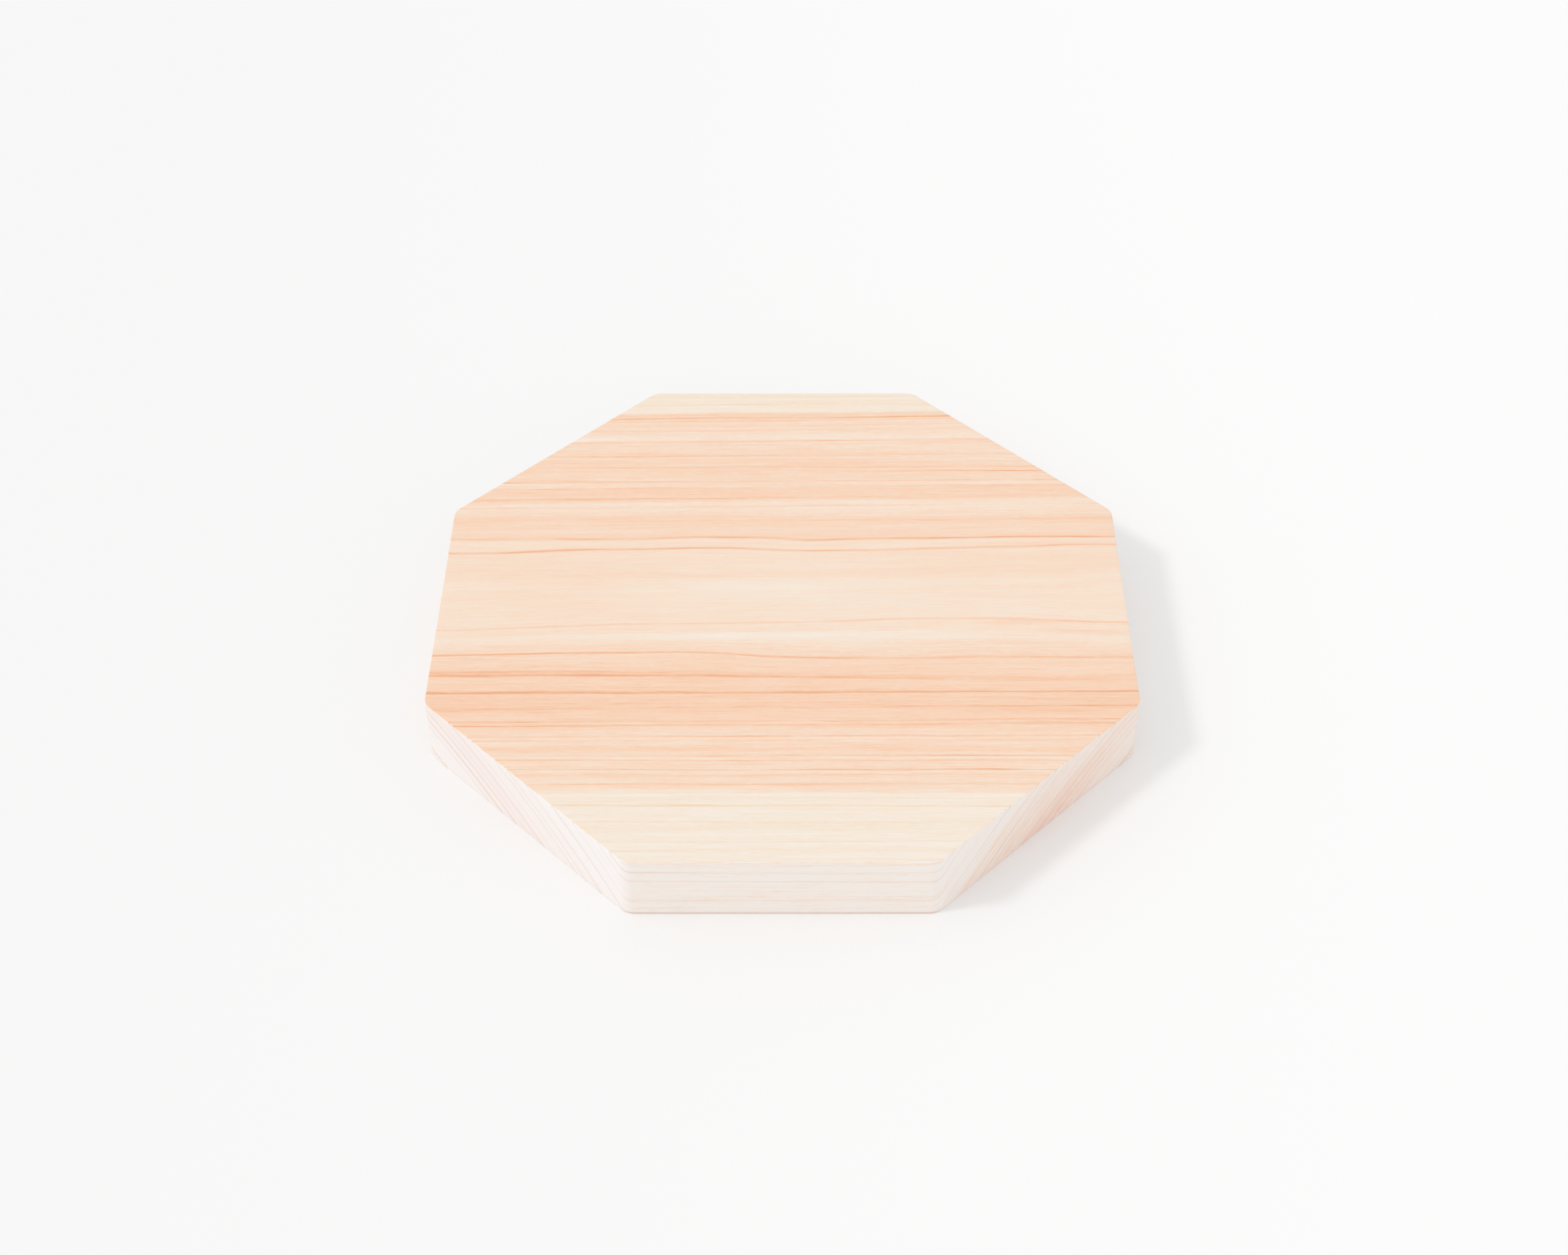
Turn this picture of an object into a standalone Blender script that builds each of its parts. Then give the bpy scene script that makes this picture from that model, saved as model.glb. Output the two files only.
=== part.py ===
"""An octagonal wooden board: one solid plank of cypress, sawn to a regular octagon, its edges eased.

Units are metres. The origin is at the middle of the underside. +Z is up, the grain runs along X,
and one flat side of the octagon faces -Y.
"""

import math

import bmesh
import bpy
from mathutils import Matrix

# Driving dimensions
ACROSS_FLATS = 0.290
THICKNESS = 0.030
CORNER_RADIUS = 0.0075
ARRIS_RADIUS = 0.001

# The regular octagon
SIDES = 8
HALF_SIDE_ANGLE = math.pi / SIDES
CIRCUMRADIUS = ACROSS_FLATS / 2 / math.cos(HALF_SIDE_ANGLE)

# A Bevel's width is the length taken off each face. It equals the radius only on a square edge.
CORNER_WIDTH = CORNER_RADIUS * math.tan(HALF_SIDE_ANGLE)
CORNER_SEGMENTS = 6
ARRIS_SEGMENTS = 4

# Only the rims of the top and the underside are this sharp once the corners are round
SHARP_RIM = math.radians(60)

# Facets that meet at less than this angle are shaded as one rounded surface
SMOOTH_ANGLE = math.radians(35)

# Bare planed cypress
WOOD_COLOUR = (0.87, 0.68, 0.50, 1.0)
WOOD_ROUGHNESS = 0.6


def clear_scene():
    """Removes every object that the file starts with."""
    for obj in list(bpy.data.objects):
        bpy.data.objects.remove(obj, do_unlink=True)


def new_collection(name):
    """A collection linked to the scene."""
    collection = bpy.data.collections.new(name)
    bpy.context.scene.collection.children.link(collection)
    return collection


def planed_wood():
    """The wood, planed and left without a finish."""
    material = bpy.data.materials.new("planed_cypress")
    material.use_nodes = True
    shader = material.node_tree.nodes["Principled BSDF"]
    shader.inputs["Base Color"].default_value = WOOD_COLOUR
    shader.inputs["Roughness"].default_value = WOOD_ROUGHNESS
    shader.inputs["Metallic"].default_value = 0.0
    return material


def face_a_flat_to_the_front(shape):
    """Turns the octagon so that its corners lie half a side's angle off the axes."""
    shape.verts.ensure_lookup_table()
    corner = shape.verts[0].co
    turn = HALF_SIDE_ANGLE - math.atan2(corner.y, corner.x)
    bmesh.ops.rotate(shape, verts=shape.verts, matrix=Matrix.Rotation(turn, 3, "Z"))


def mark_upright_edges(shape):
    """Gives the eight corner edges a bevel weight, so that the first Bevel rounds them alone."""
    weight = shape.edges.layers.float.new("bevel_weight_edge")
    for edge in shape.edges:
        low, high = sorted(vert.co.z for vert in edge.verts)
        if high - low > THICKNESS / 2:
            edge[weight] = 1.0


def octagon_blank():
    """The plank as sawn: an octagonal prism with sharp edges, standing on Z = 0."""
    shape = bmesh.new()
    bmesh.ops.create_cone(
        shape,
        cap_ends=True,
        segments=SIDES,
        radius1=CIRCUMRADIUS,
        radius2=CIRCUMRADIUS,
        depth=THICKNESS,
    )
    face_a_flat_to_the_front(shape)
    bmesh.ops.translate(shape, verts=shape.verts, vec=(0, 0, THICKNESS / 2))
    mark_upright_edges(shape)
    mesh = bpy.data.meshes.new("board")
    shape.to_mesh(mesh)
    shape.free()
    return mesh


def round_corners(obj):
    """Rounds the eight upright edges."""
    bevel = obj.modifiers.new("corner_rounding", "BEVEL")
    bevel.limit_method = "WEIGHT"
    bevel.width = CORNER_WIDTH
    bevel.segments = CORNER_SEGMENTS


def ease_rims(obj):
    """Rounds the rims of the top and the underside, all the way round."""
    bevel = obj.modifiers.new("rim_easing", "BEVEL")
    bevel.limit_method = "ANGLE"
    bevel.angle_limit = SHARP_RIM
    bevel.width = ARRIS_RADIUS
    bevel.segments = ARRIS_SEGMENTS


def make_board(collection):
    """The whole object, which is one plank."""
    mesh = octagon_blank()
    mesh.materials.append(planed_wood())
    board = bpy.data.objects.new("board", mesh)
    collection.objects.link(board)
    round_corners(board)
    ease_rims(board)
    mesh.shade_smooth()
    mesh.set_sharp_from_angle(angle=SMOOTH_ANGLE)
    return board


def main():
    clear_scene()
    make_board(new_collection("octagonal_board"))


main()
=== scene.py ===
"""The looks of an octagonal board of bare cypress: one flat-sawn plank, heartwood between two sapwood edges.

The wood is painted as a solid, not as a skin. Every point of the board is given the ring of the tree that it
lies in, so the same growth rings run across the top, over the rounded rim and down the sides.
In the wood, lengths are millimetres in the row frame: X along the grain, Y to the back, Z up.
"""

import math

import bmesh
import bpy
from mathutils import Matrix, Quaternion, Vector, noise


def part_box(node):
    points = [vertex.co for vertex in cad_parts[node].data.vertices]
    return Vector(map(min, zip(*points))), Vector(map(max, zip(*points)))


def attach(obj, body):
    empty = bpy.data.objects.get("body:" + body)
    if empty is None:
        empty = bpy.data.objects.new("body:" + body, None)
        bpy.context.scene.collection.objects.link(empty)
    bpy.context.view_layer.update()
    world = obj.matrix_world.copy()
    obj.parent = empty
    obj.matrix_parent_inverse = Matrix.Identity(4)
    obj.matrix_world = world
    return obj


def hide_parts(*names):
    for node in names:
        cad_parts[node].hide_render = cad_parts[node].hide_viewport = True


MM = 0.001

# The camera stands in front of the board and looks down at it
CAMERA_PLACE = Vector((0.005, -0.7338, 0.7044))
CAMERA_AIM = Vector((0.00045, 0.0167, 0.0))
CAMERA_ROLL = math.radians(0.279)
CAMERA_LENS = 54.09

# Light: a sun from the left, a wide weak one around it, a weak fill from the front right, and the white
# room. The last two values are the light that the colours of the top and of the sides are worked out for.
# The sides' value is lower, so the sides are painted a little lighter than the top: painted light
KEY_FROM = Vector((-27.8, -5.5, 30))
KEY_STRENGTH = 0.58
KEY_SOFTNESS = math.radians(10)
GLOW_FROM = Vector((-25, -2, 22))
GLOW_STRENGTH = 0.16
GLOW_SOFTNESS = math.radians(55)
KEY_COLOUR = (1.0, 0.985, 0.96)
FILL_FROM = Vector((20, -28, 14))
FILL_STRENGTH = 0.20
FILL_SOFTNESS = math.radians(90)
FILL_COLOUR = (1.0, 1.0, 1.0)
ROOM_LIGHT = (0.895, 0.897, 0.90, 1.0)
LIGHT_ON_TOP = 1.085
LIGHT_ON_SIDES = 1.04

# The floor is painted a little darker on the left, where the key light comes from: a painted shade
FLOOR_SHADED_AT_LEFT = (0.86, 0.86, 0.86, 1.0)
FLOOR_AT_RIGHT = (0.895, 0.895, 0.895, 1.0)
FLOOR_FADE = 0.35
FLOOR_HALF_WIDTH = 12.0
FLOOR_GAP = 0.02 * MM

# The board's shape, beyond its box
SIDES = 8
CORNER_RADIUS = 7.5 * MM
RIM_RADIUS = 0.5 * MM
FOOT_RADIUS = 0.12 * MM
RIM_WEAR = 0.12
CORNER_STEPS = 14
FLAT_STEPS = 56
RIM_STEPS = 8
SIDE_STEPS = 10
CAP_RINGS = (0.97, 0.85, 0.6, 0.3)
WEAR_REACH = 25.0 * MM

# The tree: its pith runs along X, below the board. Past RING_ZERO come the rings inside the one that
# touches the top face, which show only on the ends, at the back corners and underneath. Their ground tone is
# given as (distance past each ring's line, tone), and their lines as (width, tones at the three stations)
PITH_Y = 15.0
PITH_DEPTH = 120.0
TOUCHING_RING = 150.0
RING_ZERO = 160.0
INNER_RING_WIDTH = 4.3
INNER_RINGS = 9
INNER_FIRST_TONE = 0.22
INNER_GROUND = ((0.5, 0.30), (3.225, 0.24))
INNER_LINE = (1.5, 0.30, 0.28, 0.30)

# Tone 0 is pale sapwood and tone 1 dark latewood. The colours are sRGB, out of 255. Sapwood lies outside the
# heart's half width, over which the two sets of colours fade into each other
PALEST_TONE = -0.2
DARKEST_TONE = 1.3
HEART_COLOURS = (
    (-0.20, (246, 237, 228)),
    (0.00, (246.5, 234.6, 222)),
    (0.25, (247.5, 226, 206)),
    (0.50, (248.5, 214, 188)),
    (0.75, (248, 204.5, 173)),
    (1.00, (244.5, 190, 153)),
    (1.30, (238, 174, 132)),
)
SAPWOOD_COLOURS = (
    (-0.20, (246, 238, 228)),
    (0.00, (246.5, 235.2, 222)),
    (0.25, (246, 227.8, 207)),
    (0.50, (244.5, 218, 189)),
    (1.30, (234, 178, 134)),
)
HEART_MIDDLE = 10.5
HEART_HALF_WIDTH = (118.5, 120.5)

# The ground tone between the latewood lines, from the front edge to the back: (place across the board,
# tone). The heartwood lies between -109 and 130, and sapwood outside it
GROUND = (
    (-150, 0.06), (-144, 0.08), (-142, 0.05), (-141, 0.0), (-138.5, 0.12), (-136, -0.02), (-133, 0.12),
    (-130.6, 0.02), (-127.5, 0.16), (-122, 0.08), (-118, 0.03), (-113, 0.15), (-110.4, 0.01),
    (-109.6, 0.06), (-109, 0.26), (-107, 0.34), (-102, 0.34), (-101, 0.38), (-99.5, 0.56), (-98.4, 0.28),
    (-97, 0.32), (-93, 0.40), (-90.3, 0.30), (-88, 0.38), (-85.2, 0.57), (-82, 0.33), (-75, 0.42),
    (-72, 0.52), (-70.5, 0.55), (-66, 0.52), (-62, 0.64), (-58, 0.62), (-52, 0.60), (-48, 0.51),
    (-43, 0.58), (-38, 0.48), (-31, 0.44), (-26, 0.33), (-20, 0.13), (-17.5, 0.28), (0, 0.23), (13, 0.21),
    (18, 0.35), (31, 0.32), (39.5, 0.29), (42.5, 0.48), (50, 0.40), (53, 0.53), (57, 0.38), (61, 0.28),
    (66, 0.26), (67.8, 0.47), (69.5, 0.52), (75, 0.54), (78.5, 0.32), (82, 0.43), (92, 0.46), (97, 0.37),
    (100, 0.46), (105, 0.36), (108.4, 0.38), (111.5, 0.20), (117, 0.38), (123, 0.37), (129.3, 0.54),
    (130.8, 0.14), (134, 0.12), (137, 0.25), (139.8, 0.08), (142.5, 0.22), (144, 0.14), (150, 0.12),
)

# The latewood lines: (place across the board, width, added tone at the left station, in the middle and at
# the right station)
LATEWOOD = (
    (-143.4, 1.4, 0.03, 0.03, 0.02),
    (-139.4, 1.4, 0.26, 0.08, 0.08),
    (-134.6, 1.2, 0.16, 0.14, 0.12),
    (-129.7, 1.2, 0.05, 0.02, 0.03),
    (-124.6, 1.4, 0.11, 0.10, 0.09),
    (-120.4, 0.8, 0.06, 0.04, 0.04),
    (-117.8, 0.9, 0.08, 0.06, 0.06),
    (-116.2, 1.6, 0.26, 0.20, 0.18),
    (-112.0, 1.0, 0.00, 0.05, 0.16),
    (-105.4, 1.0, 0.05, 0.08, 0.06),
    (-104.6, 1.3, 0.20, 0.28, 0.16),
    (-96.9, 1.3, 0.22, 0.26, 0.46),
    (-95.3, 1.0, 0.06, 0.06, 0.16),
    (-91.8, 1.4, 0.20, 0.24, 0.15),
    (-89.3, 1.3, 0.10, 0.19, 0.38),
    (-86.6, 1.6, 0.00, 0.00, 0.10),
    (-80.9, 1.2, 0.12, 0.12, 0.12),
    (-78.6, 1.3, 0.14, 0.22, 0.20),
    (-72.3, 1.3, 0.28, 0.18, 0.20),
    (-70.0, 1.2, 0.23, 0.10, 0.16),
    (-62.2, 1.2, 0.10, 0.13, 0.32),
    (-59.8, 1.0, 0.08, 0.06, 0.05),
    (-53.7, 1.9, 0.46, 0.27, 0.38),
    (-44.6, 2.2, 0.34, 0.26, 0.09),
    (-42.8, 1.8, 0.20, 0.08, 0.04),
    (-32.6, 1.8, 0.40, 0.28, 0.24),
    (-12.2, 1.3, 0.20, 0.20, 0.30),
    (33.9, 1.9, 0.34, 0.31, 0.31),
    (40.8, 2.0, 0.30, 0.38, 0.46),
    (50.7, 0.8, 0.08, 0.04, 0.08),
    (53.3, 1.3, 0.10, 0.08, 0.14),
    (63.2, 1.2, 0.22, 0.20, 0.04),
    (68.7, 1.6, 0.18, 0.14, 0.02),
    (76.1, 1.3, 0.14, 0.06, 0.19),
    (80.4, 1.3, 0.26, 0.19, 0.26),
    (87.4, 1.2, 0.02, 0.10, 0.40),
    (90.2, 1.6, 0.15, 0.18, 0.16),
    (93.6, 1.3, 0.10, 0.09, 0.14),
    (95.5, 2.0, 0.12, 0.06, 0.0),
    (98.6, 1.3, 0.28, 0.16, 0.14),
    (106.4, 1.2, 0.05, 0.05, 0.10),
    (109.1, 1.4, 0.14, 0.24, 0.17),
    (117.2, 1.3, 0.14, 0.06, 0.08),
    (120.6, 1.5, 0.06, 0.06, 0.08),
    (124.2, 1.2, 0.14, 0.16, 0.10),
    (126.2, 1.6, 0.42, 0.28, 0.45),
    (135.9, 1.2, 0.08, 0.08, 0.05),
    (141.7, 1.5, 0.10, 0.05, 0.00),
)
FRONT_SHARE = 0.4
LATEWOOD_DARKNESS = 2.0
LATEWOOD_PATCHINESS = 0.7
LATEWOOD_PATCH_REACH = (30, 2.5)
STATION = 100.0

# The grain climbs to the back as it runs to the right: by this much in each millimetre, from front to back.
# No lean is more than half of LEAN_SPAN
LEAN_SPAN = 0.1
LEANS = (
    (-92, 0.0), (-70, 0.007), (-60, 0.008), (-54, 0.004), (-45, -0.005), (-32, -0.003), (-22, 0.008),
    (-12, 0.017), (25, 0.018), (34, 0.016), (41, 0.009), (53, 0.010), (69, 0.012), (76, 0.014), (81, 0.009),
    (87, 0.006), (93, 0.006), (99, 0.010), (109, 0.015), (126, 0.014),
)

# Where the grain bends out of line: (along, across, reach along, reach across, push to the back)
BENDS = (
    (-38, 37, 30, 11, 2.0),
    (12, 37, 18, 9, -1.1),
    (-145, -12, 45, 14, -2.6),
    (62, -12, 40, 12, 1.6),
    (150, -12, 40, 14, -2.4),
    (-75, -33, 50, 9, 1.9),
    (-35, -32, 22, 7, 1.2),
    (30, -34, 50, 9, -1.2),
    (-145, 43, 60, 4.5, 1.8),
    (-85, 35, 25, 4, 1.4),
    (-5, 42, 15, 3.5, 0.8),
    (40, 34, 18, 4, -0.9),
    (130, 35, 25, 4.5, 1.3),
    (90, 41, 30, 3.5, 0.5),
    (125, -46, 60, 5, -1.6),
)

# Stains and pale scrapes, measured as bends are, with their added tone last
PATCHES = (
    (-100, 4, 50, 15, 0.10),
    (0, 9, 50, 6, -0.07),
    (0, -19.8, 60, 2, -0.12),
    (0, 24, 45, 4, -0.10),
    (110, 14, 50, 14, 0.06),
    (125, -19, 35, 2.5, 0.18),
    (100, 38, 40, 1.5, 0.10),
    (-80, 138.5, 40, 1.5, 0.10),
    (110, -24, 40, 2, 0.08),
    (100, -12.2, 20, 1.6, 0.25),
    (105, -64.2, 30, 1.8, 0.22),
    (100, -96.8, 9, 0.7, -0.45),
    (120, 97, 45, 7, -0.10),
    (100, 102, 35, 1.6, -0.08),
    (-100, 55, 50, 2.5, 0.18),
    (-100, 48.5, 50, 1.5, 0.10),
    (-100, 110.5, 50, 1.5, -0.14),
    (110, 61, 40, 3, -0.07),
    (110, 69, 40, 2, -0.08),
    (105, -74.5, 40, 1.5, 0.10),
    (-100, -65, 50, 2, 0.09),
    (-100, -23, 50, 2.5, 0.08),
    (-100, 45.5, 50, 1.6, -0.10),
    (-100, 52, 50, 1.2, -0.24),
    (43.5, 131, 1.5, 0.5, -0.4),
    (40, 128.2, 1.2, 0.4, -0.3),
    (-130, -42, 22, 4, 0.10),
)

# Fine figure: (reach along the grain, across the rings, along a ring, how much tone it adds). It is calmer
# where the top face only grazes its rings. WAVES are (reach along, reach across, size)
STREAKS = ((160, 0.35, 20, 0.08), (70, 0.8, 14, 0.13), (18, 0.35, 9, 0.19), (4, 0.3, 3, 0.18))
MOTTLES = (55, 4, 8, 0.06)
DASHES = (18, 0.4, 5, 0.9)
DASH_RARITY = 0.22
CALM_REACH = (15, 50)
CALM_STRENGTH = 0.62
WAVES = ((50, 16, 0.5), (14, 5, 0.15), (3, 1.2, 0.05))

# Side faces and end grain are paler than the top, and the sides that face left paler still: that extra
# paleness is painted light from the key light on the left. SIDE_BEGINS fades the top's colour into the
# sides' over the rim. Each fade is (from, to) or (from, to, value before, value after)
PALE_WOOD_AND_LIGHT = (247, 243, 243)
SIDE_BEGINS = (0.9, 0.5)
SIDE_CONTRAST = 1.5
SIDE_MIDDLE = 0.42
SIDE_FIGURE = 1.0
SIDE_PALENESS = 0.34
END_PALENESS = 0.20
# The next two values paint light onto the sides that face the key light on the left
LEFT_PAINTED_LIGHT = 0.50
LEFT_LIGHT_FADE = (0.72, 1.0, 1.0, 0.3)
SIDE_LATEWOOD = (212, 164, 130)
SIDE_LATEWOOD_SHARE = 0.8
SIDE_LATEWOOD_MOST = 0.34

# Uneven spots on the front sides, as patches are. The left stain is placed by (along, ring), the painted
# light at the right end of the front right side's rim and the flecks by (along, height), and the front rim
# by (across, height). They end where FRONT_HALF fades out. The front right side's painted shade at its foot
# is placed by (along, across), and darkens downwards
LEFT_STAIN = (-115, -62, 60, 15, 0.45)
# Painted light: paler at the right end of the front right side's rim
RIGHT_RIM_LIGHT = (137, 25, 22, 12, -0.28)
FRONT_RIM = (-145, 28.8, 4, 1.5, 0.22)
PITCH_FLECKS = ((115.5, 9.5, 0.9, 1.1, 0.5), (111, 4.5, 1.2, 1.2, 0.8))
FRONT_HALF = (-20, 20, 1.0, 0.0)
# The next four values paint shade on the front right side, darker towards its foot
RIGHT_SHADE_SPOT = (108, -97, 50, 50)
RIGHT_FOOT_SHADE = 0.5
RIGHT_SHADE_HEIGHT = 30.0
RIGHT_SHADE_SHARE_BELOW = 0.6

# The thin brown line along the front foot: a painted contact shadow
FOOT_SHADOW_REACH = (0.3, 1.3, 1.0, 0.0)
FOOT_SHADOW_FACING = (0.8, 0.97)
FOOT_SHADOW_SHARE = 0.45
FOOT_SHADOW_COLOUR = (205, 160, 140)

# Bare planed wood is dull, a little less so in its dark streaks
ROUGHNESS = 0.6
STREAK_POLISH = -0.5
SPECULAR = 0.35
GRAIN_RELIEF = 0.05 * MM
RELIEF_STRENGTH = 0.3

# The Mix node's first input, second input and output for each kind of value, and a colour ramp's limit
MIX_SOCKETS = {"FLOAT": (2, 3, 0), "RGBA": (6, 7, 2)}
MOST_RAMP_STOPS = 30


class Nodes:
    """Adds nodes to a tree. Its methods take sockets or plain values, and return the new node's output."""

    def __init__(self, tree):
        self.tree = tree

    def add(self, kind, inputs=(), **settings):
        node = self.tree.nodes.new(kind)
        for name, value in settings.items():
            setattr(node, name, value)
        for socket, value in zip(node.inputs, inputs):
            self.plug(value, socket)
        return node

    def plug(self, value, socket):
        if isinstance(value, bpy.types.NodeSocket):
            self.tree.links.new(value, socket)
        else:
            socket.default_value = value

    def math(self, operation, *values, clamp=False):
        return self.add("ShaderNodeMath", values, operation=operation, use_clamp=clamp).outputs[0]

    def total(self, values):
        result = values[0]
        for value in values[1:]:
            result = self.math("ADD", result, value)
        return result

    def point(self, x, y, z):
        return self.add("ShaderNodeCombineXYZ", (x, y, z)).outputs[0]

    def split(self, vector):
        return self.add("ShaderNodeSeparateXYZ", (vector,)).outputs

    def fade(self, value, low, high, low_result=0.0, high_result=1.0):
        """A smooth change from one result to the other as the value goes from low to high."""
        inputs = (value, low, high, low_result, high_result)
        return self.add("ShaderNodeMapRange", inputs, interpolation_type="SMOOTHSTEP").outputs[0]

    def mix(self, share, first, second, kind="FLOAT"):
        node = self.add("ShaderNodeMix", (share,), data_type=kind)
        first_socket, second_socket, output = MIX_SOCKETS[kind]
        self.plug(first, node.inputs[first_socket])
        self.plug(second, node.inputs[second_socket])
        return node.outputs[output]

    def noise(self, vector, detail=2.0):
        """Smooth noise around zero, mostly within 0.5 of it."""
        node = self.add("ShaderNodeTexNoise", noise_dimensions="3D", normalize=False)
        self.plug(vector, node.inputs["Vector"])
        self.plug(1.0, node.inputs["Scale"])
        self.plug(detail, node.inputs["Detail"])
        return node.outputs[0]

    def ramp(self, value, stops):
        """A colour ramp through (place from 0 to 1, colour)."""
        node = self.add("ShaderNodeValToRGB", (value,))
        elements = node.color_ramp.elements
        elements.remove(elements[1])
        elements[0].position = stops[0][0]
        elements[0].color = stops[0][1]
        for place, colour in stops[1:]:
            elements.new(place).color = colour
        return node.outputs[0]

    def profile(self, place, stops):
        """The colour at a place, through (place, colour) stops, in as many ramps as they need."""
        result = None
        for first in range(0, len(stops) - 1, MOST_RAMP_STOPS - 1):
            part = stops[first : first + MOST_RAMP_STOPS]
            start = part[0][0]
            length = part[-1][0] - start
            share = self.math("DIVIDE", self.math("SUBTRACT", place, start), length, clamp=True)
            colour = self.ramp(share, [((at - start) / length, shade) for at, shade in part])
            if result is None:
                result = colour
            else:
                result = self.mix(self.math("GREATER_THAN", place, start), result, colour, "RGBA")
        return result

    def hump(self, x, y, across_x, across_y, reach_x, reach_y, height):
        """A smooth hump of that height around one point of the plane of x and y."""
        east = self.math("MULTIPLY_ADD", x, 1 / reach_x, -across_x / reach_x)
        north = self.math("MULTIPLY_ADD", y, 1 / reach_y, -across_y / reach_y)
        far = self.math("MULTIPLY_ADD", east, east, self.math("MULTIPLY", north, north))
        return self.math("MULTIPLY", self.math("EXPONENT", self.math("MULTIPLY", far, -1.0)), height)


def linear(channel):
    """An sRGB channel out of 255, as linear light."""
    share = channel / 255
    if share <= 0.04045:
        return share / 12.92
    return ((share + 0.055) / 1.055) ** 2.4


def base_colour(srgb, light):
    """The base colour that this much light turns into this sRGB colour."""
    return tuple(linear(channel) / light for channel in srgb) + (1.0,)


def outline(half_width, inset):
    """Points in order round the board, drawn in by the inset from its widest outline."""
    turn = math.tau / SIDES
    reach = (half_width - CORNER_RADIUS) / math.cos(turn / 2)
    points = []
    for side in range(SIDES):
        corner = reach * direction(turn * (side + 0.5))
        following = reach * direction(turn * (side + 1.5))
        for step in range(CORNER_STEPS):
            outward = direction(turn * (side + step / CORNER_STEPS))
            points.append((corner, outward))
        outward = direction(turn * (side + 1))
        for step in range(FLAT_STEPS):
            points.append((corner.lerp(following, step / FLAT_STEPS), outward))
    return [centre + outward * (CORNER_RADIUS - worn(inset, centre)) for centre, outward in points]


def direction(angle):
    """The level unit vector at that angle from X."""
    return Vector((math.cos(angle), math.sin(angle), 0.0))


def worn(inset, place):
    """The rims were eased by hand, so they are rounded a little more in some places than in others."""
    return inset * (1 + RIM_WEAR * noise.noise(place / WEAR_REACH))


def rounding(radius):
    """(inset, distance from the flat) along a quarter round, from the flat face to the side."""
    turns = [math.pi / 2 * step / RIM_STEPS for step in range(RIM_STEPS + 1)]
    return [(radius * (1 - math.sin(turn)), radius * (1 - math.cos(turn))) for turn in turns]


def plank_rows(low, high):
    """(share of the outline, inset, height) of each loop, from the middle below to the middle above."""
    side = high - low - FOOT_RADIUS - RIM_RADIUS
    below = [(share, FOOT_RADIUS, low) for share in reversed(CAP_RINGS)]
    lower = [(1.0, inset, low + rise) for inset, rise in rounding(FOOT_RADIUS)]
    middle = [(1.0, 0.0, low + FOOT_RADIUS + side * step / SIDE_STEPS) for step in range(1, SIDE_STEPS)]
    upper = [(1.0, inset, high - rise) for inset, rise in reversed(rounding(RIM_RADIUS))]
    above = [(share, RIM_RADIUS, high) for share in CAP_RINGS]
    return below + lower + middle + upper + above


def make_plank(low, high):
    """The board as one closed mesh, with flat faces, rounded corners and eased rims."""
    shape = bmesh.new()
    loops = []
    for share, inset, height in plank_rows(low.z, high.z):
        places = outline(high.y, inset)
        loops.append([shape.verts.new((place.x * share, place.y * share, height)) for place in places])
    for lower, upper in zip(loops, loops[1:]):
        for i, corner in enumerate(lower):
            shape.faces.new((lower[i - 1], corner, upper[i], upper[i - 1]))
    shape.faces.new(reversed(loops[0]))
    shape.faces.new(loops[-1])
    mesh = bpy.data.meshes.new("plank")
    shape.to_mesh(mesh)
    shape.free()
    mesh.shade_smooth()
    plank = bpy.data.objects.new("plank", mesh)
    bpy.context.scene.collection.objects.link(plank)
    return plank


def ring_place(nodes, y, z):
    """Where the ring through a point meets the top face, how far along that ring the point is, its radius
    and where it belongs past RING_ZERO. Rings that meet the top use the first, and the others the last."""
    from_pith = nodes.math("SUBTRACT", y, PITH_Y)
    above_pith = nodes.math("ADD", z, PITH_DEPTH)
    height_squared = nodes.math("MULTIPLY", above_pith, above_pith)
    squared = nodes.math("MULTIPLY_ADD", from_pith, from_pith, height_squared)
    radius = nodes.math("SQRT", squared)
    outside = nodes.math("MAXIMUM", nodes.math("SUBTRACT", squared, TOUCHING_RING**2), 0.0)
    reach = nodes.math("MULTIPLY", nodes.math("SQRT", outside), nodes.math("SIGN", from_pith))
    around = nodes.math("MULTIPLY", nodes.math("ARCTAN2", from_pith, above_pith), TOUCHING_RING)
    inner = nodes.math("SUBTRACT", RING_ZERO + TOUCHING_RING, radius)
    return nodes.math("ADD", reach, PITH_Y), around, radius, inner


def drift(nodes, x, across):
    """How far the grain at a place has wandered to the back: its lean, and its bends."""
    stops = [(place, (0.5 + lean / LEAN_SPAN,) * 3 + (1.0,)) for place, lean in LEANS]
    lean = nodes.math("MULTIPLY_ADD", nodes.profile(across, stops), LEAN_SPAN, -LEAN_SPAN / 2)
    humps = [nodes.hump(x, across, *bend) for bend in BENDS]
    return nodes.math("MULTIPLY_ADD", lean, x, nodes.total(humps))


def waves(nodes, x, across):
    """The small waver of every ring."""
    parts = []
    for along, over, size in WAVES:
        place = nodes.point(*scaled(nodes, (x, across), (along, over)), 0.0)
        parts.append(nodes.math("MULTIPLY", nodes.noise(place, detail=0.0), size))
    return nodes.total(parts)


def scaled(nodes, values, reaches):
    """Each value in units of its own reach."""
    return [nodes.math("DIVIDE", value, reach) for value, reach in zip(values, reaches)]


def ground_tone(nodes, ring):
    """The tone of a ring between the latewood lines, with the inner rings as well."""
    inner = [(RING_ZERO, INNER_FIRST_TONE)]
    for number in range(INNER_RINGS):
        start = RING_ZERO + INNER_RING_WIDTH * number
        inner += [(start + past, tone) for past, tone in INNER_GROUND]
    return nodes.profile(ring, [(place, (tone, tone, tone, 1.0)) for place, tone in (*GROUND, *inner)])


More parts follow.
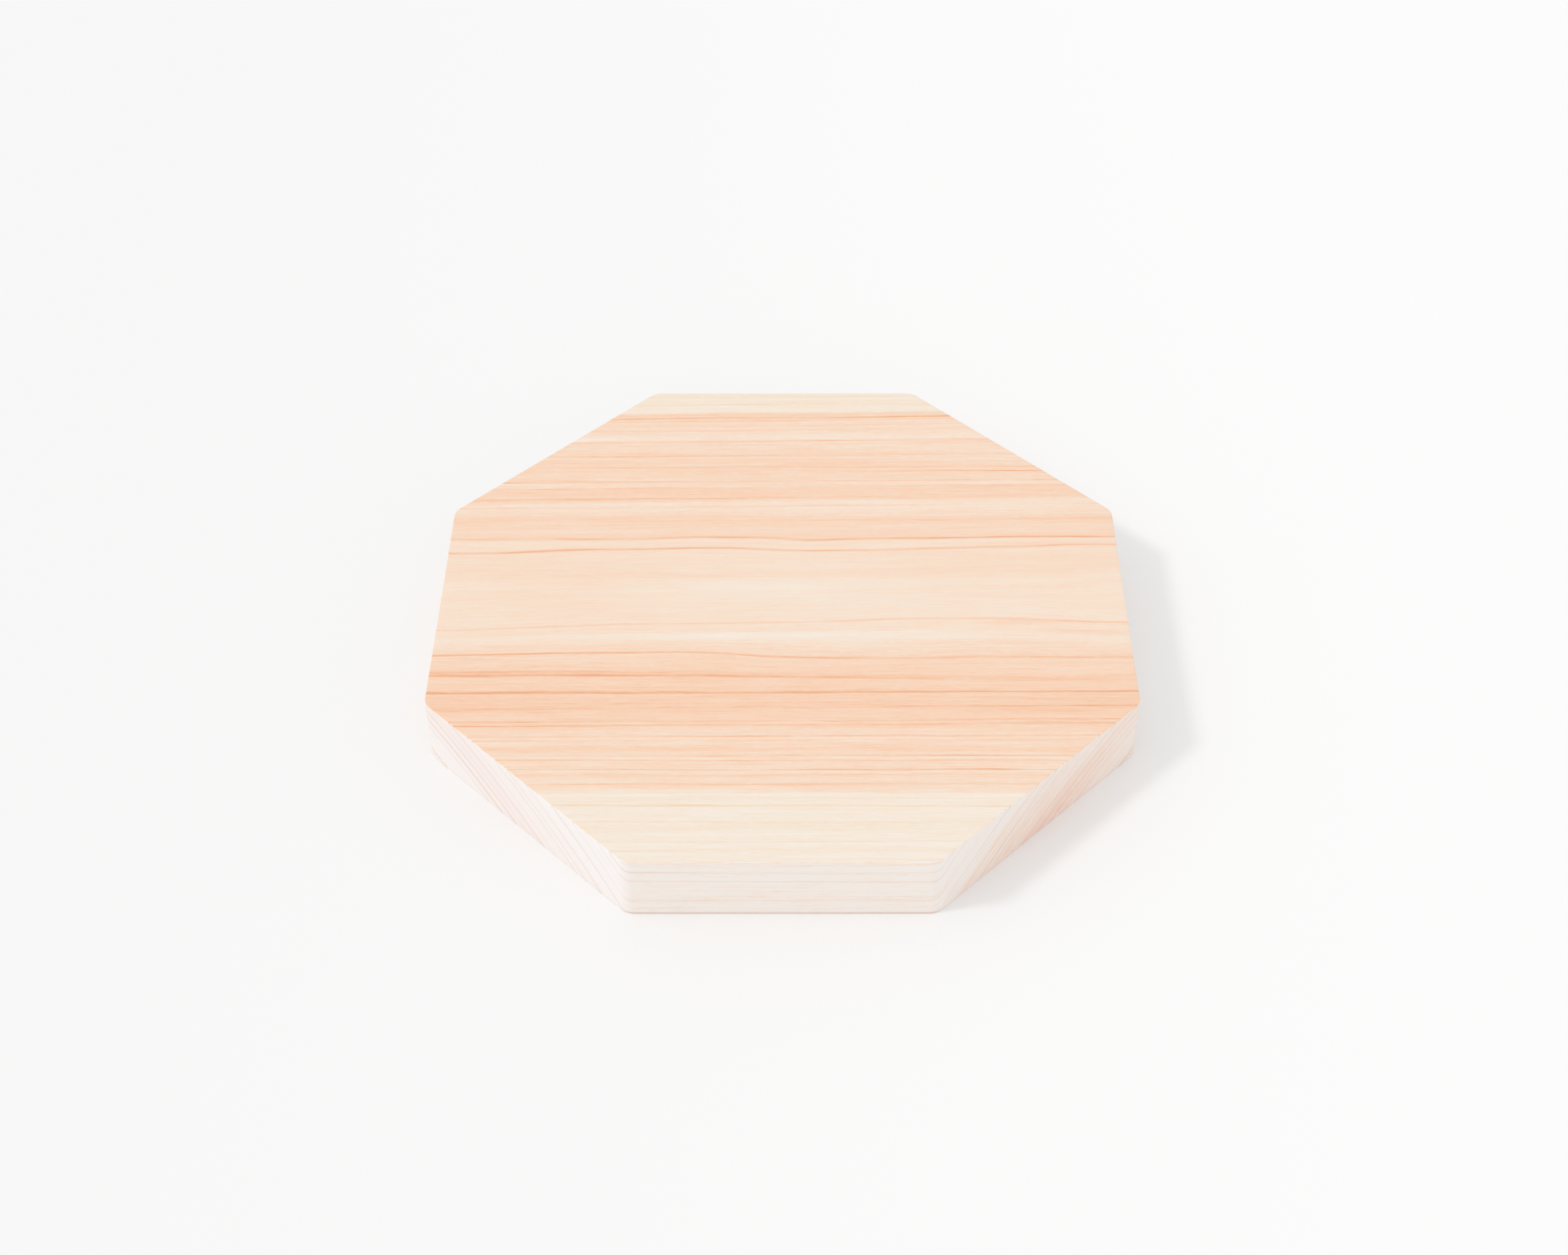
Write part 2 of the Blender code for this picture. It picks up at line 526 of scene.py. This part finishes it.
def latewood_lines():
    """Every latewood line, with the ones on the inner rings."""
    inner = [(RING_ZERO + INNER_RING_WIDTH * (number + 1), *INNER_LINE) for number in range(INNER_RINGS)]
    return LATEWOOD + tuple(inner)


def line_edges(line):
    """Where a latewood line starts, peaks and ends. It fades to the back, and stops short in front."""
    place, width = line[:2]
    return place - width * FRONT_SHARE, place, place + width * (1 - FRONT_SHARE)


def latewood_at(place, station):
    """The tone that the lines add there, at one of the three stations along the board."""
    added = 0.0
    for line in latewood_lines():
        start, peak, end = line_edges(line)
        if start < place <= peak:
            added += line[2 + station] * (place - start) / (peak - start)
        elif peak < place < end:
            added += line[2 + station] * (end - place) / (end - peak)
    return added


def latewood_tone(nodes, x, ring):
    """The tone that the latewood lines add, blended between the left station, the middle and the right."""
    places = sorted({place for line in latewood_lines() for place in line_edges(line)})
    stops = [(place, (*(latewood_at(place, station) for station in range(3)), 1.0)) for place in places]
    stations = nodes.add("ShaderNodeSeparateColor", (nodes.profile(ring, stops),)).outputs
    at_left = nodes.fade(x, -STATION, 0.0, 1.0, 0.0)
    at_right = nodes.fade(x, 0.0, STATION)
    result = nodes.mix(at_left, stations[1], stations[0])
    return nodes.mix(at_right, result, stations[2])


def figure_tone(nodes, point, reaches):
    """Noise stretched by three reaches along the wood's directions, times the strength that ends them."""
    place = nodes.point(*scaled(nodes, point, reaches[:3]))
    return nodes.math("MULTIPLY", nodes.noise(place), reaches[3])


def dash_tone(nodes, point, ground):
    """Short dark dashes, more of them in darker wood."""
    dash = nodes.math("SUBTRACT", nodes.noise(nodes.point(*scaled(nodes, point, DASHES[:3]))), DASH_RARITY)
    depth = nodes.math("MULTIPLY", ground, DASHES[3])
    return nodes.math("MULTIPLY", nodes.math("MAXIMUM", dash, 0.0), depth)


def wood_tone(nodes, x, y, z):
    """Tone without latewood lines, the tone that the lines add, the fine figure in the first of these, and
    where the point's ring meets the top face."""
    outer, around, radius, inner = ring_place(nodes, y, z)
    guess = nodes.math("SUBTRACT", outer, drift(nodes, x, outer))
    straight = nodes.math("SUBTRACT", outer, drift(nodes, x, guess))
    is_inner = nodes.math("LESS_THAN", radius, TOUCHING_RING)
    ring = nodes.math("ADD", nodes.mix(is_inner, straight, inner), waves(nodes, x, outer))
    patchy = nodes.noise(nodes.point(*scaled(nodes, (x, ring), LATEWOOD_PATCH_REACH), 0.0))
    patchiness = LATEWOOD_PATCHINESS * LATEWOOD_DARKNESS
    strength = nodes.math("MULTIPLY_ADD", patchy, patchiness, LATEWOOD_DARKNESS)
    lines = nodes.math("MULTIPLY", latewood_tone(nodes, x, ring), strength)
    ground = ground_tone(nodes, ring)
    grain = (x, ring, around)
    fine = nodes.total([figure_tone(nodes, grain, reaches) for reaches in STREAKS])
    fine = nodes.math("ADD", fine, dash_tone(nodes, grain, ground))
    off_centre = nodes.math("ABSOLUTE", nodes.math("SUBTRACT", outer, PITH_Y))
    figure = nodes.math("MULTIPLY", fine, nodes.fade(off_centre, *CALM_REACH, CALM_STRENGTH, 1.0))
    mottle = figure_tone(nodes, (x, y, z), MOTTLES)
    patches = [nodes.hump(x, outer, *patch) for patch in PATCHES]
    earlywood = nodes.total([ground, figure, mottle, *patches])
    return earlywood, lines, figure, outer


def side_stains_and_light(nodes, x, y, z, outer):
    """The sides are a little uneven, and carry painted light and shade. The front right one has painted
    shade that darkens towards its foot, painted light at the right end of its rim, and flecks, and the front
    left one has a darker band along its rings."""
    # Painted shade, darker towards the foot of the front right side
    rise = nodes.math("MULTIPLY_ADD", z, -RIGHT_FOOT_SHADE / RIGHT_SHADE_HEIGHT, RIGHT_FOOT_SHADE * RIGHT_SHADE_SHARE_BELOW)
    foot = nodes.math("MULTIPLY", nodes.hump(x, y, *RIGHT_SHADE_SPOT, 1.0), rise)
    # The first spot is painted light at the right end of the front right side's rim
    spots = [nodes.hump(x, z, *spot) for spot in (RIGHT_RIM_LIGHT, *PITCH_FLECKS)]
    spots += [nodes.hump(x, outer, *LEFT_STAIN), nodes.hump(y, z, *FRONT_RIM)]
    front = nodes.total(spots)
    return nodes.math("MULTIPLY_ADD", front, nodes.fade(y, *FRONT_HALF), foot)


def foot_shadow(nodes, z, facing_y):
    """How much of the painted contact shadow, a brown line along the front foot, shows there."""
    towards_front = nodes.fade(nodes.math("MULTIPLY", facing_y, -1.0), *FOOT_SHADOW_FACING)
    share = nodes.math("MULTIPLY", nodes.fade(z, *FOOT_SHADOW_REACH), FOOT_SHADOW_SHARE)
    return nodes.math("MULTIPLY", share, towards_front)


def tone_to_colour(nodes, tone, light, colours):
    """The base colour of a tone, for a face that gets this much light."""
    span = DARKEST_TONE - PALEST_TONE
    share = nodes.math("DIVIDE", nodes.math("SUBTRACT", tone, PALEST_TONE), span, clamp=True)
    stops = [((place - PALEST_TONE) / span, base_colour(srgb, light)) for place, srgb in colours]
    return nodes.ramp(share, stops)


def top_colour(nodes, tone, outer):
    """Sapwood is yellower than heartwood of the same tone."""
    heart = tone_to_colour(nodes, tone, LIGHT_ON_TOP, HEART_COLOURS)
    sap = tone_to_colour(nodes, tone, LIGHT_ON_TOP, SAPWOOD_COLOURS)
    from_middle = nodes.math("ABSOLUTE", nodes.math("SUBTRACT", outer, HEART_MIDDLE))
    return nodes.mix(nodes.fade(from_middle, *HEART_HALF_WIDTH), heart, sap, "RGBA")


def side_paleness_and_light(nodes, facing_x):
    """How much paler a side is drawn: end grain more than side grain, and the front left side most of all,
    where the extra is painted light from the left.
    """
    end_grain = nodes.math("ABSOLUTE", facing_x)
    # Painted light: the sides that face left are drawn paler
    left_end = nodes.math("MAXIMUM", nodes.math("MULTIPLY", facing_x, -1.0), 0.0)
    left_light = nodes.math("MULTIPLY", left_end, nodes.fade(left_end, *LEFT_LIGHT_FADE))
    paler = nodes.math("MULTIPLY_ADD", end_grain, END_PALENESS, SIDE_PALENESS)
    return nodes.math("MULTIPLY_ADD", left_light, LEFT_PAINTED_LIGHT, paler)


def side_colour(nodes, earlywood, lines, figure, stains_and_light, paler):
    """The wood of the sides, with more contrast between its rings and paler ground than on the top. On the
    sides that face left, part of the paleness is painted light.
    """
    tone = nodes.math("MULTIPLY_ADD", earlywood, SIDE_CONTRAST, SIDE_MIDDLE * (1 - SIDE_CONTRAST))
    tone = nodes.math("MULTIPLY_ADD", figure, SIDE_FIGURE, tone)
    bare = tone_to_colour(nodes, nodes.math("ADD", tone, stains_and_light), LIGHT_ON_SIDES, HEART_COLOURS)
    colour = nodes.mix(paler, bare, base_colour(PALE_WOOD_AND_LIGHT, LIGHT_ON_SIDES), "RGBA")
    marking = nodes.math("MINIMUM", nodes.math("MULTIPLY", lines, SIDE_LATEWOOD_SHARE), SIDE_LATEWOOD_MOST)
    return nodes.mix(marking, colour, base_colour(SIDE_LATEWOOD, LIGHT_ON_SIDES), "RGBA")


def cypress():
    """Planed and sanded cypress with no finish on it."""
    material = bpy.data.materials.new("cypress")
    material.use_nodes = True
    nodes = Nodes(material.node_tree)
    shader = material.node_tree.nodes["Principled BSDF"]
    where = nodes.add("ShaderNodeTexCoord").outputs
    in_mm = nodes.add("ShaderNodeVectorMath", (where["Object"],), operation="SCALE")
    in_mm.inputs["Scale"].default_value = 1 / MM
    x, y, z = nodes.split(in_mm.outputs[0])
    facing_x, facing_y, facing_z = nodes.split(where["Normal"])
    earlywood, lines, figure, outer = wood_tone(nodes, x, y, z)
    on_top = top_colour(nodes, nodes.math("ADD", earlywood, lines), outer)

    stains_and_light = side_stains_and_light(nodes, x, y, z, outer)
    on_side = side_colour(nodes, earlywood, lines, figure, stains_and_light, side_paleness_and_light(nodes, facing_x))
    # A painted contact shadow: a thin brown line along the front foot
    foot_shadow_brown = base_colour(FOOT_SHADOW_COLOUR, LIGHT_ON_SIDES)
    on_side = nodes.mix(foot_shadow(nodes, z, facing_y), on_side, foot_shadow_brown, "RGBA")
    is_side = nodes.fade(nodes.math("ABSOLUTE", facing_z), *SIDE_BEGINS)
    colour = nodes.mix(is_side, on_top, on_side, "RGBA")
    nodes.plug(colour, shader.inputs["Base Color"])

    roughness = nodes.math("MULTIPLY_ADD", figure, STREAK_POLISH, ROUGHNESS)
    nodes.plug(roughness, shader.inputs["Roughness"])
    height = nodes.math("MULTIPLY_ADD", figure, -1.0, lines)
    bump = nodes.add("ShaderNodeBump")
    bump.inputs["Strength"].default_value = RELIEF_STRENGTH
    bump.inputs["Distance"].default_value = GRAIN_RELIEF
    nodes.plug(height, bump.inputs["Height"])
    nodes.plug(bump.outputs[0], shader.inputs["Normal"])
    shader.inputs["Specular IOR Level"].default_value = SPECULAR
    return material


def make_floor():
    """A wide pale floor, a touch below the board so that nothing shares its plane."""
    shape = bmesh.new()
    bmesh.ops.create_grid(shape, x_segments=4, y_segments=4, size=FLOOR_HALF_WIDTH)
    mesh = bpy.data.meshes.new("floor")
    shape.to_mesh(mesh)
    shape.free()
    floor = bpy.data.objects.new("floor", mesh)
    floor.location.z = -FLOOR_GAP
    bpy.context.scene.collection.objects.link(floor)
    material = bpy.data.materials.new("floor_paper")
    material.use_nodes = True
    shader = material.node_tree.nodes["Principled BSDF"]
    nodes = Nodes(material.node_tree)
    x = nodes.split(nodes.add("ShaderNodeTexCoord").outputs["Object"])[0]
    # Painted shade: the floor's colour darkens towards the left
    colour = nodes.mix(nodes.fade(x, -FLOOR_FADE, FLOOR_FADE), FLOOR_SHADED_AT_LEFT, FLOOR_AT_RIGHT, "RGBA")
    nodes.plug(colour, shader.inputs["Base Color"])
    shader.inputs["Roughness"].default_value = 1.0
    shader.inputs["Specular IOR Level"].default_value = 0.0
    mesh.materials.append(material)
    return floor


def make_sun(name, source, strength, softness, colour):
    light = bpy.data.lights.new(name, "SUN")
    light.energy = strength
    light.angle = softness
    light.color = colour
    sun = bpy.data.objects.new(name, light)
    sun.rotation_euler = source.to_track_quat("Z", "Y").to_euler()
    bpy.context.scene.collection.objects.link(sun)


def make_room_light():
    world = bpy.data.worlds.new("room")
    bpy.context.scene.world = world
    world.use_nodes = True
    background = world.node_tree.nodes["Background"]
    background.inputs["Color"].default_value = ROOM_LIGHT


def make_camera():
    camera_data = bpy.data.cameras.new("camera")
    camera_data.lens = CAMERA_LENS
    camera = bpy.data.objects.new("camera", camera_data)
    camera.location = CAMERA_PLACE
    level = (CAMERA_AIM - CAMERA_PLACE).to_track_quat("-Z", "Y")
    camera.rotation_euler = (level @ Quaternion((0, 0, 1), -CAMERA_ROLL)).to_euler()
    bpy.context.scene.collection.objects.link(camera)
    bpy.context.scene.camera = camera
    bpy.context.scene.view_settings.view_transform = "Standard"


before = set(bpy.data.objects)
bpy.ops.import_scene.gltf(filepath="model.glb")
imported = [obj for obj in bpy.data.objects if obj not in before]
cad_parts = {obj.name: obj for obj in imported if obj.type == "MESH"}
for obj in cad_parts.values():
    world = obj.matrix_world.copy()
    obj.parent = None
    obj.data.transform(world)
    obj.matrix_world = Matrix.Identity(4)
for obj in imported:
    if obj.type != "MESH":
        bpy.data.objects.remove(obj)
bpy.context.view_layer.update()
make_camera()
make_room_light()
make_sun("key_light", KEY_FROM, KEY_STRENGTH, KEY_SOFTNESS, KEY_COLOUR)
make_sun("glow_light", GLOW_FROM, GLOW_STRENGTH, GLOW_SOFTNESS, KEY_COLOUR)
make_sun("fill_light", FILL_FROM, FILL_STRENGTH, FILL_SOFTNESS, FILL_COLOUR)
make_floor()

plank = make_plank(*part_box("board"))
plank.data.materials.append(cypress())
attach(plank, "root")
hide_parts("board")
